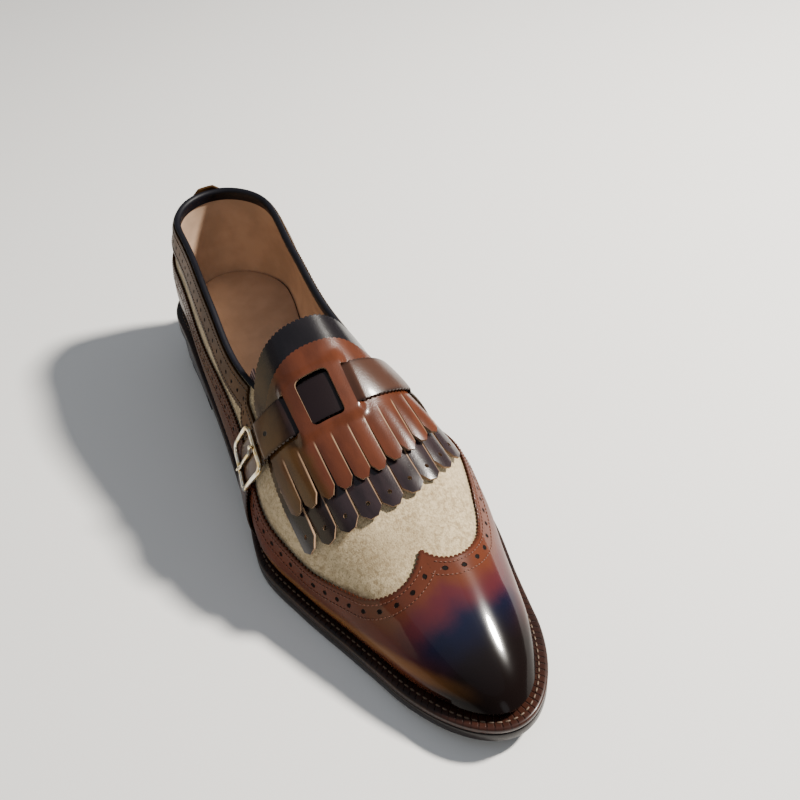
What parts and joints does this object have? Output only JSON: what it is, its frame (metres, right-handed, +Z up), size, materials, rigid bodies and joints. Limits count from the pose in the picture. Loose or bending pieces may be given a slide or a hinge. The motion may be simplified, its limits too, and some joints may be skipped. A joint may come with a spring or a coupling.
{
  "type": "kiltie loafer",
  "caption": "Man's slip-on dress shoe for the right foot, with a peaked wing toe, a fringed kiltie over a fringed tongue, and a buckled strap passed under the kiltie's bars.",
  "frame": {"origin": "middle of the heel's tread, on the floor that the shoe stands on", "axes": "+X from heel to toe, +Y to the inner side of the foot, +Z up"},
  "size_m": [0.314, 0.1043, 0.0939],
  "materials": {
    "outsole_leather": "dark edge ink, waxed",
    "heel_leather": "waxed stacked lifts",
    "top_lift_rubber": "matte",
    "lining_leather": "natural, matte",
    "suede": "napped",
    "burnished_leather": "burnished, high gloss at the toe",
    "collar_leather": "polished",
    "elastic": "striped web",
    "dark_leather": "polished",
    "kiltie_leather": "polished",
    "strap_leather": "polished",
    "buckle_metal": "polished"
  },
  "bodies": {
    "root": {"outsole": "outsole_leather", "welt": "outsole_leather", "heel_stack": "heel_leather", "top_lift": "top_lift_rubber", "insole": "lining_leather", "upper": "suede", "wing": "burnished_leather", "collar_band": "collar_leather", "gore_lateral": "elastic", "gore_medial": "elastic", "tongue": "dark_leather", "kiltie": "kiltie_leather", "strap": "strap_leather", "strap_anchor": "strap_leather", "buckle_frame": "buckle_metal", "buckle_prong": "buckle_metal"}
  },
  "joints": []
}
